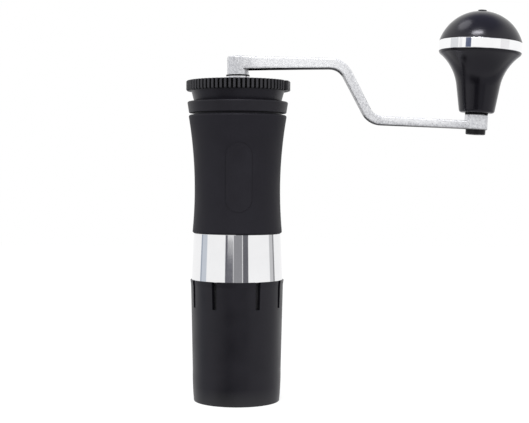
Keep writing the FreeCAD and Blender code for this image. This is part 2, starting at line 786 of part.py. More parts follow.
def arm_section(body, reach, height, width, thickness):
    """A rounded bar section across the arm."""
    sketch = sketch_on(body, "YZ_Plane", {"z": reach})
    half, rise, edge = f"({width} / 2)", f"({thickness} / 2)", "arm_edge_round"
    draw(sketch, [
        (f"-{half} + {edge}", f"{height} - {rise}"),
        (f"{half} - {edge}", f"{height} - {rise}", edge, 1),
        (half, f"{height} - {rise} + {edge}"),
        (half, f"{height} + {rise} - {edge}", edge, 1),
        (f"{half} - {edge}", f"{height} + {rise}"),
        (f"-{half} + {edge}", f"{height} + {rise}", edge, 1),
        (f"-{half}", f"{height} + {rise} - {edge}"),
        (f"-{half}", f"{height} - {rise} + {edge}", edge, 1),
    ])
    return sketch


def make_crank_arm():
    body = new_body("crank_arm")
    path = sketch_on(body, "XZ_Plane")
    corners = arm_path()
    draw(path, corners, closed=False)
    bend_x, bend_z = corners[1][:2]
    root = arm_section(body, "0", ARM_Z, "arm_root_width", "arm_root_thickness")
    waist = arm_section(body, bend_x, bend_z, "arm_waist_width", "arm_waist_thickness")
    tip = arm_section(body, "crank_reach", ARM_TIP, "arm_tip_width", "arm_tip_thickness")
    doc.recompute()
    bar = body.newObject("PartDesign::AdditivePipe", "arm_bar")
    bar.Profile = root
    bar.Spine = (path, [f"Edge{index}" for index in range(1, 6)])
    bar.Sections = [(waist, [""]), (tip, [""])]
    bar.Transformation = "Multisection"
    doc.recompute()

    hub = sketch_on(body, "XZ_Plane")
    draw(hub, [
        ("0", HUB_FOOT),
        ("hub_radius", HUB_FOOT),
        ("hub_radius", f"{HUB_TOP} - hub_round", "hub_round", 1),
        ("hub_radius - hub_round", HUB_TOP),
        ("0", HUB_TOP),
    ])
    turn_sketch(body, "Revolution", hub)
    cut_turn(body, [("0", HUB_FOOT), (SOCKET, HUB_FOOT), (SOCKET, SOCKET_TOP), ("0", SOCKET_TOP)])

    stand = {"x": AXLE_X, "y": AXLE_Z}
    boss = sketch_on(body, "XZ_Plane", stand, Vector(0, 0, -1), "knob_lean")
    draw(boss, [
        ("0", "axle_head_height"),
        ("boss_radius - boss_round", "axle_head_height", "boss_round", 1),
        ("boss_radius", "axle_head_height + boss_round"),
        ("boss_radius", f"{BOSS_TOP} - boss_round", "boss_round", 1),
        ("boss_radius - boss_round", BOSS_TOP),
        ("0", BOSS_TOP),
    ])
    turn_sketch(body, "Revolution", boss)
    hole = sketch_on(body, "XZ_Plane", stand, Vector(0, 0, -1), "knob_lean")
    draw(hole, box_outline("0", "axle_radius", "axle_head_height", BOSS_TOP))
    turn_sketch(body, "Groove", hole)


def make_knob_axle():
    axle = turned("knob_axle", [
        ("0", "0"),
        ("axle_head_radius", "0"),
        ("axle_head_radius", "axle_head_height"),
        ("axle_radius", "axle_head_height"),
        ("axle_radius", f"{AXLE_NUT_TOP} + axle_end"),
        ("0", f"{AXLE_NUT_TOP} + axle_end"),
    ])
    dress(axle, "Fillet", "axle_head_round", [("axle_head_radius", "0")])
    key = sketch_on(axle, "XY_Plane")
    draw(key, hexagon("axle_key_flats"))
    pocket(axle, key, length="axle_key_depth")
    washer = turned("knob_washer", ring("axle_radius", "knob_washer_radius", BOSS_TOP,
                                        f"{BOSS_TOP} + knob_washer_height"))
    nut = new_body("axle_nut")
    sketch = sketch_on(nut, "XY_Plane", {"z": AXLE_NUT_FOOT})
    draw(sketch, hexagon("axle_nut_flats"))
    draw_circle(sketch, "0", "0", "axle_radius")
    pad(nut, sketch, "axle_nut_height")
    for piece in (axle, washer, nut):
        on_knob_axis(piece)


def make_knob():
    well = "(axle_nut_flats / sqrt(3) + knob_well_margin)"
    grip = turned("knob_grip", [
        (KNOB_BUSH, KNOB_FOOT),
        ("knob_foot_radius", KNOB_FOOT),
        ("knob_stem_radius", f"{KNOB_FOOT} + knob_stem_height", "knob_flare_curve", -1),
        ("knob_radius - knob_lip_width", f"{KNOB_LIP} - knob_lip_height", "knob_lip_curve", 1),
        ("knob_radius", KNOB_LIP),
        (KNOB_TENON, KNOB_LIP),
        (KNOB_TENON, KNOB_TENON_TOP),
        (well, KNOB_TENON_TOP),
        (well, KNOB_WELL),
        (KNOB_BUSH, KNOB_WELL),
    ])
    dress(grip, "Fillet", "knob_foot_round", [("knob_foot_radius", KNOB_FOOT)])
    band = turned("knob_band", ring(KNOB_TENON, "knob_radius", KNOB_LIP, KNOB_BAND_TOP))
    dress(band, "Fillet", "knob_band_round", [("knob_radius", KNOB_LIP), ("knob_radius", KNOB_BAND_TOP)])
    shelf = f"({KNOB_TENON} - knob_shelf)"
    hole_top = f"{KNOB_TOP} - {DOME_CURVE} + sqrt({DOME_CURVE} ^ 2 - plug_radius ^ 2)"
    dome = turned("knob_dome", [
        (KNOB_TENON, KNOB_BAND_TOP),
        ("knob_radius", KNOB_BAND_TOP, DOME_CURVE, 1),
        ("plug_radius", hole_top),
        ("plug_radius", KNOB_VOID_TOP),
        (shelf, KNOB_VOID_TOP),
        (shelf, KNOB_TENON_TOP),
        (KNOB_TENON, KNOB_TENON_TOP),
    ])
    plug = turned("knob_plug", [
        ("0", f"{KNOB_TOP} - plug_length"),
        ("plug_radius", f"{KNOB_TOP} - plug_length"),
        ("plug_radius", f"{KNOB_TOP} + plug_rise"),
        ("0", f"{KNOB_TOP} + plug_rise"),
    ])
    dress(plug, "Fillet", "plug_round", [("plug_radius", f"{KNOB_TOP} + plug_rise")])
    bore = "axle_radius + running_gap"
    lower = turned("lower_knob_bush", ring(bore, KNOB_BUSH, KNOB_FOOT, f"{KNOB_FOOT} + knob_bush_length"),
                   keep=False)
    upper = turned("upper_knob_bush", ring(bore, KNOB_BUSH, f"{KNOB_WELL} - knob_bush_length", KNOB_WELL),
                   keep=False)
    bushes = node(doc.addObject("Part::Compound", "knob_bushes"), "knob_bushes")
    bushes.Links = [lower, upper]
    for piece in (grip, band, dome, plug, bushes):
        on_knob_axis(piece)
    doc.recompute()


def make_bridge(label, seat, foot, top, bearing_foot):
    """A bearing bridge: a rim in the body, spokes and a hub with a bearing seat."""
    body = turned(label, ring(f"{seat} - bridge_rim", seat, foot, top))
    spoke = sketch_on(body, "XY_Plane", {"z": foot})
    draw(spoke, box_outline("0", f"{seat} - bridge_rim / 2", "-spoke_width / 2", "spoke_width / 2"))
    spread(body, pad(body, spoke, "bridge_height"), "spoke_count")
    hub = sketch_on(body, "XZ_Plane")
    draw(hub, box_outline("0", BRIDGE_HUB, foot, top))
    turn_sketch(body, "Revolution", hub)
    cut_turn(body, [
        ("0", foot),
        (f"{BEARING} - bearing_lip", foot),
        (f"{BEARING} - bearing_lip", bearing_foot),
        (BEARING, bearing_foot),
        (BEARING, top),
        ("0", top),
    ])


def make_bearing(name, foot):
    """A ball bearing: outer race, inner race and a ring of balls."""
    top = f"({foot} + bearing_height)"
    middle = f"({foot} + bearing_height / 2)"
    track = "(ball_radius + ball_gap)"
    half = f"sqrt({track} ^ 2 - (bearing_wall / 2 - race_wall) ^ 2)"
    bore = f"({BEARING} - race_wall)"
    turned(f"{name}_outer_race", [
        (bore, foot),
        (BEARING, foot),
        (BEARING, top),
        (bore, top),
        (bore, f"{middle} + {half}", track, -1),
        (bore, f"{middle} - {half}"),
    ])
    rim = "(journal_radius + race_wall)"
    turned(f"{name}_inner_race", [
        ("journal_radius", foot),
        (rim, foot),
        (rim, f"{middle} - {half}", track, -1),
        (rim, f"{middle} + {half}"),
        (rim, top),
        ("journal_radius", top),
    ])
    balls = []
    count = round(number("ball_count"))
    for index in range(count):
        ball = doc.addObject("Part::Sphere", f"{name}_ball")
        angle = f"(360 * {index} / ball_count)"
        bind(ball, "Radius", "ball_radius")
        bind(ball, ".Placement.Base.x", f"{BALL_RING} * cos({angle})")
        bind(ball, ".Placement.Base.y", f"{BALL_RING} * sin({angle})")
        bind(ball, ".Placement.Base.z", middle)
        balls.append(ball)
    group = node(doc.addObject("Part::Compound", f"{name}_balls"), f"{name}_balls")
    group.Links = balls
    doc.recompute()


def make_shaft():
    hex_foot = f"({UPPER_BRIDGE_TOP} + hex_start)"
    body = turned("drive_shaft", [
        ("0", SHAFT_FOOT),
        ("journal_radius", SHAFT_FOOT),
        ("journal_radius", HOUSING_TOP),
        (SHAFT, HOUSING_TOP),
        (SHAFT, UPPER_BEARING_FOOT),
        ("journal_radius", UPPER_BEARING_FOOT),
        ("journal_radius", hex_foot),
        ("0", hex_foot),
    ])
    drive = sketch_on(body, "XY_Plane", {"z": hex_foot})
    draw(drive, hexagon("hex_flats"))
    pad(body, drive, f"{SHAFT_TOP} - {hex_foot}")
    flats = sketch_on(body, "XY_Plane", {"z": SHAFT_FOOT})
    reach = f"(journal_radius + {PAST})"
    draw(flats, box_outline(f"-{reach}", reach, "shaft_flats / 2", reach))
    draw(flats, box_outline(f"-{reach}", reach, f"-{reach}", "-shaft_flats / 2"))
    pocket(body, flats, length=f"{LOWER_BEARING_FOOT} - {SHAFT_FOOT}")


def make_housing():
    ledge = f"({OUTER_BURR} - throat_ledge)"
    turned("burr_housing", [
        (SKIRT, SPIGOT_FOOT),
        (SPIGOT, SPIGOT_FOOT),
        (SPIGOT, HOUSING_TOP),
        (LOWER_SEAT, HOUSING_TOP),
        (LOWER_SEAT, LOWER_BRIDGE_FOOT),
        (ledge, LOWER_BRIDGE_FOOT),
        (ledge, BURR_TOP),
        (OUTER_BURR, BURR_TOP),
        (OUTER_BURR, BURR_FOOT),
        (SKIRT, BURR_FOOT),
    ])
    lock = turned("burr_lock_ring", ring(f"{SKIRT} - lock_ring_wall", SKIRT,
                                         f"{BURR_FOOT} - lock_ring_height", BURR_FOOT))
    hole = sketch_on(lock, "XY_Plane")
    draw_circle(hole, f"{SKIRT} - lock_ring_wall / 2", "0", "lock_ring_hole_radius")
    spread(lock, pocket(lock, hole), "lock_ring_holes")


def make_outer_burr():
    body = turned("outer_burr", [
        (BURR_MOUTH, BURR_FOOT),
        (OUTER_BURR, BURR_FOOT),
        (OUTER_BURR, BURR_TOP),
        (f"{BURR_THROAT} + burr_entry", BURR_TOP),
        (BURR_THROAT, FLARE_TOP),
    ])
    tooth = sketch_on(body, "XY_Plane")
    draw_circle(tooth, BURR_THROAT, "0", "ring_tooth_radius")
    spread(body, pocket(body, tooth), "ring_tooth_count")


def cut_flutes(body, start, finish, depth, count):
    """V-shaped flutes that run straight up a cone between two places (radius, height) on it."""
    inward = f"({start[0]} - {finish[0]})"
    upward = f"({finish[1]} - {start[1]})"
    shift = {"x": start[0], "z": start[1]}
    sketch = sketch_on(body, "XY_Plane", shift, Vector(0, -1, 0), f"atan({inward} / {upward})")
    draw(sketch, [(f"-{depth}", "0"), (depth, f"-{depth}"), (depth, depth)])
    flute = pocket(body, sketch, length=f"sqrt({inward} ^ 2 + {upward} ^ 2)")
    spread(body, flute, count)


def make_inner_burr():
    body = turned("inner_burr", [
        ("0", CONE_FOOT),
        (CONE_RIM, CONE_FOOT),
        (CONE_THROAT, FLARE_TOP),
        (CONE_BELLY, f"{BURR_FOOT} + burr_belly_height"),
        (CONE_NOSE, NOSE_TOP),
        ("0", NOSE_TOP),
    ])
    cut_turn(body, box_outline("0", SPRING_WELL, SPRING_FOOT, NOSE_TOP))
    flat = "(shaft_flats / 2 + running_gap)"
    side = f"sqrt({BORE} ^ 2 - {flat} ^ 2)"
    hole = sketch_on(body, "XY_Plane")
    draw(hole, [
        (side, f"-{flat}", BORE, 1),
        (side, flat),
        (f"-{side}", flat, BORE, 1),
        (f"-{side}", f"-{flat}"),
    ])
    pocket(body, hole)
    cut_flutes(body, (CONE_THROAT, FLARE_TOP), (CONE_NOSE, NOSE_TOP), "flute_depth", "flute_count")
    cut_flutes(body, (CONE_RIM, CONE_FOOT), (CONE_THROAT, FLARE_TOP), "tooth_depth", "tooth_count")


def make_dial():
    body = turned("grind_dial", ring(BORE, "dial_radius", DIAL_FOOT, CONE_FOOT))
    dress(body, "Fillet", "dial_round", [("dial_radius", DIAL_FOOT), ("dial_radius", CONE_FOOT)])
    scallop = sketch_on(body, "XY_Plane")
    draw_circle(scallop, "dial_radius + dial_scallop_radius / 2", "0", "dial_scallop_radius")
    spread(body, pocket(body, scallop), "dial_scallops")


def arc_from(start, tangent, finish):
    """The arc that leaves a point along a unit tangent and ends at another point."""
    chord = finish - start
    across = chord - tangent * chord.dot(tangent)
    across.normalize()
    radius = chord.dot(chord) / (2 * chord.dot(across))
    centre = start + across * radius
    outward = (start + finish) / 2 - centre
    outward.normalize()
    return Part.Arc(start, centre + outward * radius, finish).toShape()


def coil_wire(radius, foot, top, turns):
    """A helix about Z as two tangent arcs to each quarter turn, with its first point and tangent."""
    quarters = 4 * turns
    rise = (top - foot) / quarters
    climb = rise / (radius * math.pi / 2)
    spots, tangents = [], []
    for index in range(quarters + 1):
        angle = index * math.pi / 2
        spots.append(Vector(radius * math.cos(angle), radius * math.sin(angle), foot + rise * index))
        tangents.append(Vector(-math.sin(angle), math.cos(angle), climb).normalize())
    edges = []
    for start, finish, leave, arrive in zip(spots, spots[1:], tangents, tangents[1:]):
        step = finish - start
        along = step.dot(leave + arrive)
        spare = 2 * (1 - leave.dot(arrive))
        reach = ((along ** 2 + spare * step.dot(step)) ** 0.5 - along) / spare
        joint = (start + finish + (leave - arrive) * reach) / 2
        edges.append(arc_from(start, leave, joint))
        middle_tangent = (joint - start) * 2 / (joint - start).Length
        turned_tangent = middle_tangent * leave.dot(middle_tangent) / 2 - leave
        edges.append(arc_from(joint, turned_tangent.normalize(), finish))
    return Part.Wire(edges), spots[0], tangents[0]


def make_spring():
    wire = number("spring_wire / 2")
    foot = number(SPRING_FOOT) + wire
    top = number(LOWER_BEARING_FOOT) - wire
    turns = round(number("spring_turns"))
    path, start, tangent = coil_wire(number(SPRING), foot, top, turns)
    shell = Part.BRepOffsetAPI.MakePipeShell(path)
    shell.add(Part.Wire(Part.makeCircle(wire, start, tangent)))
    shell.build()
    shell.makeSolid()
    spring = node(doc.addObject("Part::Feature", "burr_spring"), "burr_spring")
    spring.Shape = shell.shape()
    spring.Placement = Placement()


def write_parts():
    """Check every object and write each piece to its own file."""
    doc.recompute()
    failed = [thing.Name for thing in doc.Objects if {"Invalid", "Error"} & set(thing.State)]
    for piece in nodes:
        if piece.Shape.isNull() or not piece.Shape.isValid():
            failed.append(piece.Label)
    if failed:
        raise RuntimeError(f"failed: {failed}")
    os.makedirs("parts", exist_ok=True)
    for piece in nodes:
        piece.Shape.exportStep(f"parts/{piece.Label}.step")


make_cup()
make_body_tube()
make_grip()
make_collar()
make_housing()
make_outer_burr()
make_bridge("lower_bridge", LOWER_SEAT, LOWER_BRIDGE_FOOT, HOUSING_TOP, LOWER_BEARING_FOOT)
make_bridge("upper_bridge", SEAT, UPPER_BRIDGE_FOOT, UPPER_BRIDGE_TOP, UPPER_BEARING_FOOT)
make_bearing("lower_bearing", LOWER_BEARING_FOOT)
make_bearing("upper_bearing", UPPER_BEARING_FOOT)
make_shaft()
make_inner_burr()
make_spring()
make_dial()
make_lid()
make_drive_socket()
make_crank_arm()
make_knob_axle()
make_knob()
write_parts()
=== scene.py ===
import math

import bpy
from mathutils import Matrix, Vector

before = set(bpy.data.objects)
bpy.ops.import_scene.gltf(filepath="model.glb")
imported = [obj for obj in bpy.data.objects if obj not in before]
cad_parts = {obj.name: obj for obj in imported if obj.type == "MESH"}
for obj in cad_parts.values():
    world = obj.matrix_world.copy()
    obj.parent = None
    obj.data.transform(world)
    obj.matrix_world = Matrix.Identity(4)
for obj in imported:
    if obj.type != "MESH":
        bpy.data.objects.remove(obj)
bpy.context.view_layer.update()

# The picture, and where the camera stood
IMAGE_WIDTH = 529
FOCAL_PIXELS = 1220
SENSOR_WIDTH = 36.0
CAMERA_PLACE = Vector((0.0163, -0.732, 0.1349))
LOOK_DOWN = math.radians(1.67)
CAMERA_ROLL = math.radians(0.27)

# The studio as the polished parts mirror it: white walls under a dim ceiling, and the darker things in
# front of them. Each has its first and last bearing from the camera toward +X, its foot, its top and how
# far these two fade, all in degrees, and its colour.
WHITE = (1, 1, 1, 1)
WALL = (1.0, 1.0, 1.0)
CEILING = (0.28, 0.29, 0.42)
CEILING_START = 42
CEILING_END = 62
STRIPE_EDGE = 1.5
TABLE_EDGE = -12.6
STUDIO_STRIPES = {
    "left gap edge": (-105, -100, -35, 3.5, 0.8, (0.36, 0.40, 0.47)),
    "left gap": (-100, -84, -35, 3.5, 0.8, (0.60, 0.64, 0.70)),
    "left post": (-28.5, -24.5, TABLE_EDGE, 4.0, 1.0, (0.13, 0.13, 0.15)),
    "left stand": (-24.5, -9.5, TABLE_EDGE, 3.0, 1.8, (0.15, 0.15, 0.17)),
    "camera": (-7, 13.5, TABLE_EDGE, 4.0, 1.0, (0.29, 0.29, 0.305)),
    "right stand": (16.5, 29, TABLE_EDGE, 4.0, 1.0, (0.14, 0.14, 0.155)),
    "table": (-170, 170, -29, TABLE_EDGE, 0.8, (0.60, 0.60, 0.64)),
    "near table": (-180, 180, -90, -34, 8.0, (0.76, 0.76, 0.79)),
    "table front": (-54, -4, -29, TABLE_EDGE, 0.8, (0.01, 0.01, 0.012)),
    "right gap": (94, 107, -5, 3.5, 0.8, (0.60, 0.60, 0.61)),
    "right gap edge": (107, 111, -5, 3.5, 0.8, (0.28, 0.28, 0.29)),
    "left pole": (-50, -36, 4.0, 10, 1.0, (0.10, 0.12, 0.20)),
    "far pole": (-70, -62, 4.0, 10, 1.0, (0.80, 0.80, 0.82)),
    "left panel": (-100, -74, 4.0, 12, 1.0, (0.72, 0.73, 0.75)),
    "right panel": (48, 76, 4.0, 10, 1.0, (0.86, 0.85, 0.86)),
}

# The ceiling as it lights dull surfaces, and the lamps: bearing and height in degrees, distance, width and
# depth in metres, power in watts, and whether shiny surfaces mirror them
SOFT_CEILING = (0.25, 0.25, 0.25)
LAMP_AIM = Vector((0.05, 0, 0.12))
LAMPS = {
    "front_lamp": (-11, 57, 1.2, 0.52, 0.17, 6.0, True),
    "top_lamp": (-112, 68, 1.2, 0.6, 0.5, 2.0, True),
    "low_fill": (0, 12, 1.4, 1.2, 0.5, 4.0, False),
}

# The floor's half width in metres, its own glow, and how much light it throws back to the camera and around
FLOOR_HALF = 1.6
FLOOR_GLOW = 0.80
FLOOR_CATCH = (0.28, 0.28, 0.28, 1)
FLOOR_BOUNCE = (0.35, 0.35, 0.35, 1)

# Moulded finishes: darkest and lightest colour, least and most roughness, specular level, pebbles to a
# metre and their depth in metres
MOULDED = {
    "cup_plastic": ((0.0065, 0.0062, 0.0085), (0.0095, 0.0090, 0.0120), (0.33, 0.42), 0.30, 2600, 6e-6),
    "grip_rubber": ((0.0100, 0.0094, 0.0125), (0.0135, 0.0130, 0.0170), (0.55, 0.66), 0.20, 1900, 1.4e-5),
    "badge_rubber": ((0.0105, 0.0098, 0.0130), (0.0140, 0.0135, 0.0175), (0.52, 0.62), 0.21, 3200, 5e-6),
    "collar_plastic": ((0.0105, 0.0100, 0.0125), (0.0145, 0.0140, 0.0175), (0.44, 0.54), 0.24, 2600, 6e-6),
    "lid_plastic": ((0.024, 0.024, 0.026), (0.032, 0.032, 0.035), (0.46, 0.58), 0.32, 2200, 1e-5),
    "gloss_plastic": ((0.0080, 0.0075, 0.0105), (0.0110, 0.0105, 0.0140), (0.34, 0.42), 0.26, 2600, 1e-6),
    "knob_plastic": ((0.0030, 0.0027, 0.0042), (0.0050, 0.0046, 0.0066), (0.18, 0.25), 0.35, 2600, 2e-6),
    # painted light: a copy of knob_plastic made lighter for the upward dome, standing in for the light it
    # catches
    "knob_plastic_lit_copy": ((0.0075, 0.0071, 0.0096), (0.0105, 0.0100, 0.0132), (0.18, 0.25), 0.35, 2600, 2e-6),
    "housing_plastic": ((0.016, 0.016, 0.017), (0.026, 0.026, 0.028), (0.42, 0.55), 0.35, 2600, 6e-6),
    "washer_nylon": ((0.003, 0.003, 0.003), (0.006, 0.006, 0.0065), (0.50, 0.60), 0.10, 2600, 6e-6),
}
SHEEN = (0.93, 0.91, 1.0, 1)
CLOUDS_TO_METRE = 70
WAVES_TO_METRE = 240

# Metal finishes: darkest and lightest colour, least and most roughness. Grain that is stretched round the
# axis makes their lines.
POLISHED = {
    "mirror_steel": ((0.83, 0.83, 0.84), (0.89, 0.89, 0.90), (0.025, 0.07)),
    "chrome_ring": ((0.92, 0.92, 0.93), (0.97, 0.97, 0.98), (0.03, 0.07)),
}
POLISH_LINES_TO_METRE = 5000
POLISH_STRETCH = (0.02, 0.02, 1.0)
POLISH_DEPTH = 4e-7
HAZE_TO_METRE = 45
MACHINED = {
    "black_oxide": ((0.018, 0.018, 0.019), (0.034, 0.034, 0.036), (0.35, 0.50)),
    "burr_steel": ((0.40, 0.40, 0.41), (0.58, 0.58, 0.60), (0.28, 0.42)),
    "bright_steel": ((0.62, 0.62, 0.64), (0.78, 0.78, 0.80), (0.14, 0.26)),
    "bridge_alloy": ((0.50, 0.50, 0.52), (0.68, 0.68, 0.70), (0.30, 0.44)),
    "bush_brass": ((0.62, 0.44, 0.18), (0.80, 0.60, 0.28), (0.18, 0.30)),
}
TURNED_LINES_TO_METRE = 3000
TURNED_STRETCH = (0.05, 0.05, 1.0)
TURNED_DEPTH = 3e-6
STAINS_TO_METRE = 180

# The nodes that wear each finish
WEARERS = {
    "cup_plastic": ["grounds_cup"],
    "grip_rubber": ["grip_sleeve"],
    "badge_rubber": ["grip_badge"],
    "collar_plastic": ["hopper_collar"],
    "lid_plastic": ["hopper_lid"],
    "gloss_plastic": ["lid_neck"],
    "knob_plastic": ["knob_grip", "knob_plug"],
    "knob_plastic_lit_copy": ["knob_dome"],
    "housing_plastic": ["burr_housing", "burr_lock_ring", "grind_dial"],
    "washer_nylon": ["hub_washer", "knob_washer"],
    "black_oxide": ["knob_axle", "axle_nut"],
    "mirror_steel": ["body_tube"],
    "chrome_ring": ["knob_band"],
    "burr_steel": ["outer_burr", "inner_burr"],
    "bright_steel": [
        "lid_bush", "drive_shaft", "drive_socket", "socket_clip", "burr_spring",
        "lower_bearing_outer_race", "lower_bearing_inner_race", "lower_bearing_balls",
        "upper_bearing_outer_race", "upper_bearing_inner_race", "upper_bearing_balls",
    ],
    "bridge_alloy": ["lower_bridge", "upper_bridge"],
    "bush_brass": ["knob_bushes"],
    "arm_alloy": ["crank_arm"],
}

# The cup's foot, painted paler up to a height in metres as painted light bounced up from the floor
FOOT_BOUNCE_HEIGHT = 0.010
PAINTED_BOUNCE_LIGHT = (0.030, 0.030, 0.031)

# The painted shade in the grooves between the lid's ribs: how far inside the rim, in metres, it fades in
# and out again, and how much a wall may face up or down and still take it
GROOVE_IN = (0.0020, 0.0016)
GROOVE_OUT = (0.0012, 0.0002)
GROOVE_WALL = (0.2, 0.6)
GROOVE_PAINTED_SHADE = (0.002, 0.002, 0.002)
GROOVE_SHADE_SPECULAR = 0.02

# The crank's casting: its grain, and its darkest and lightest colour in its plain tone and in its darker
# tone, which also carries painted shade
MOTTLE_TO_METRE = 760
MOTTLE_SHARE = 0.65
SPECKLE_TO_METRE = 2200
SPECKLE_DEPTH = 5e-6
DENTS_TO_METRE = 130
DENT_DEPTH = 3e-5
SPOT_RANGE = (0.36, 0.60)
PLAIN_ALLOY = ((0.82, 0.825, 0.85), (0.965, 0.97, 0.98))
DARKER_AND_SHADED_ALLOY = ((0.46, 0.465, 0.49), (0.77, 0.775, 0.795))
ALLOY_METALLIC = 0.55
ALLOY_SPECULAR = 0.5
ALLOY_ROUGHNESS = (0.26, 0.40)

# How much darker the casting is, from 0 to 1, by the distance from its hub in metres
ARM_END = 0.15
HUB_DARKENING = 1.0
END_DARKENING = 1.0
ARM_DARKENING = {
    0.007: 0.8,
    0.012: 0.12,
    0.056: 0.2,
    0.068: 0.7,
    0.083: 0.7,
    0.091: 0.0,
    0.117: 0.0,
    0.128: 0.5,
}

# The arm's lower run: the level of its middle carried back to the hub, its fall, the heights about that
# middle where the painted shade on the lower flank is full and where it ends, and how much painted shade
# the flank takes
LOW_RUN_LEVEL = 0.17183
LOW_RUN_FALL = math.tan(math.radians(2.4))
FLANK_SHADE_FULL = -0.0010
FLANK_SHADE_END = 0.0004
FLANK_PAINTED_SHADE = 0.9

# The arm's underside, painted dark as painted shade and made less metallic and less shiny: how much it
# faces down, how far the mottle frays its edge, its painted shade colour beside the hub, before the bends
# and toward the knob, and the distances from the hub over which that changes
UNDERSIDE = (-0.45, -0.15)
UNDERSIDE_FRAY = 0.3
UNDERSIDE_SHADE_AT_HUB = (0.015, 0.015, 0.018)
UNDERSIDE_SHADE_AT_BENDS = (0.20, 0.20, 0.21)
UNDERSIDE_SHADE_AT_KNOB = (0.46, 0.46, 0.47)
HUB_TO_BENDS = (0.026, 0.055)
BENDS_TO_KNOB = (0.095, 0.120)


def feed(tree, socket, value):
    """Joins a socket to another one, or sets it to a plain value."""
    if isinstance(value, bpy.types.NodeSocket):
        tree.links.new(value, socket)
    else:
        socket.default_value = value


def add(tree, kind, inputs=None, **settings):
    """A new node with its settings and inputs."""
    made = tree.nodes.new(kind)
    for name, value in settings.items():
        setattr(made, name, value)
    for key, value in (inputs or {}).items():
        feed(tree, made.inputs[key], value)
    return made


def start_material(name, sockets):
    """A material with one shader, and the values that are the same all over it."""
    made = bpy.data.materials.new(name)
    made.use_nodes = True
    shader = made.node_tree.nodes["Principled BSDF"]
    for socket, value in sockets.items():
        shader.inputs[socket].default_value = value
    return made, made.node_tree, shader


def own_place(tree, stretch=(1, 1, 1)):
    """The point in the piece's own frame, stretched along the axes."""
    point = add(tree, "ShaderNodeTexCoord").outputs["Object"]
    return add(tree, "ShaderNodeMapping", {"Vector": point, "Scale": stretch}).outputs[0]


def own_axes(tree):
    """The X, Y and Z of the point in the piece's own frame."""
    return add(tree, "ShaderNodeSeparateXYZ", {0: own_place(tree)}).outputs


def grain(tree, per_metre, detail=3.0, stretch=(1, 1, 1)):
    """Cloudy grain from 0 to 1, with so many clouds to a metre."""
    inputs = {"Vector": own_place(tree, stretch), "Scale": per_metre, "Detail": detail}
    return add(tree, "ShaderNodeTexNoise", inputs).outputs[0]


def between(tree, value, low, high, start=0.3, end=0.7):
    """Spreads a value that goes from start to end over low to high."""
    inputs = {0: value, 1: start, 2: end, 3: low, 4: high}
    return add(tree, "ShaderNodeMapRange", inputs).outputs[0]


def tint(tree, share, first, second):
    """A colour between two others."""
    mixed = add(tree, "ShaderNodeMix", data_type="RGBA")
    feed(tree, mixed.inputs[0], share)
    for place, colour in ((6, first), (7, second)):
        feed(tree, mixed.inputs[place], (*colour, 1) if isinstance(colour, tuple) else colour)
    return mixed.outputs[2]


def plus(tree, first, second):
    """The sum of two values."""
    return add(tree, "ShaderNodeMath", {0: first, 1: second}, operation="ADD").outputs[0]


def times(tree, first, second):
    """The product of two values."""
    return add(tree, "ShaderNodeMath", {0: first, 1: second}, operation="MULTIPLY").outputs[0]


def upward(tree):
    """How far the surface faces up in the piece's own frame, from -1 to 1."""
    facing = add(tree, "ShaderNodeTexCoord").outputs["Normal"]
    return add(tree, "ShaderNodeSeparateXYZ", {0: facing}).outputs[2]


def relief(tree, height, depth, below=None):
    """Bumps of a depth in metres, over other bumps if there are any."""
    inputs = {"Height": height, "Distance": depth, "Strength": 1.0}
    if below is not None:
        inputs["Normal"] = below
    return add(tree, "ShaderNodeBump", inputs).outputs[0]


def moulded(name, dark, light, roughness, specular, pebble, depth):
    """Moulded plastic or rubber: fine pebbled skin, soft clouds of wear and of sheen."""
    sockets = {"Specular IOR Level": specular, "Specular Tint": SHEEN}
    made, tree, shader = start_material(name, sockets)
    clouds = grain(tree, CLOUDS_TO_METRE, 4.0)
    pebbles = grain(tree, pebble, 2.0)
    waves = grain(tree, WAVES_TO_METRE, 2.0)
    feed(tree, shader.inputs["Base Color"], tint(tree, between(tree, clouds, 0, 1), dark, light))
    feed(tree, shader.inputs["Roughness"], between(tree, clouds, *roughness))
    skin = relief(tree, pebbles, depth)
    feed(tree, shader.inputs["Normal"], relief(tree, waves, depth, skin))
    return made


def polished(name, dark, light, roughness):
    """Polished metal: faint lines left by the wheel round the axis, and a little haze."""
    made, tree, shader = start_material(name, {"Metallic": 1.0})
    lines = grain(tree, POLISH_LINES_TO_METRE, 2.0, POLISH_STRETCH)
    haze = grain(tree, HAZE_TO_METRE, 4.0)
    feed(tree, shader.inputs["Base Color"], tint(tree, between(tree, haze, 0, 1), dark, light))
    feed(tree, shader.inputs["Roughness"], between(tree, plus(tree, haze, lines), *roughness, 0.7, 1.3))
    feed(tree, shader.inputs["Normal"], relief(tree, lines, POLISH_DEPTH))
    return made


def machined(name, dark, light, roughness):
    """Machined metal: turning lines round the axis, and stains in the colour."""
    made, tree, shader = start_material(name, {"Metallic": 1.0})
    lines = grain(tree, TURNED_LINES_TO_METRE, 2.0, TURNED_STRETCH)
    stains = grain(tree, STAINS_TO_METRE, 4.0)
    feed(tree, shader.inputs["Base Color"], tint(tree, between(tree, stains, 0, 1), dark, light))
    feed(tree, shader.inputs["Roughness"], between(tree, stains, *roughness))
    feed(tree, shader.inputs["Normal"], relief(tree, lines, TURNED_DEPTH))
    return made


def paint_foot_bounce_light(made):
    """Paints a moulded skin paler towards the foot, as painted light bounced up from the floor that it
    stands on.
    """
    tree = made.node_tree
    colour = tree.nodes["Principled BSDF"].inputs["Base Color"]
    skin = colour.links[0].from_socket
    # painted light: the skin turns paler toward the foot, standing in for light bounced up from the floor
    bounce_share = between(tree, own_axes(tree)[2], 1, 0, 0, FOOT_BOUNCE_HEIGHT)
    feed(tree, colour, tint(tree, bounce_share, skin, PAINTED_BOUNCE_LIGHT))


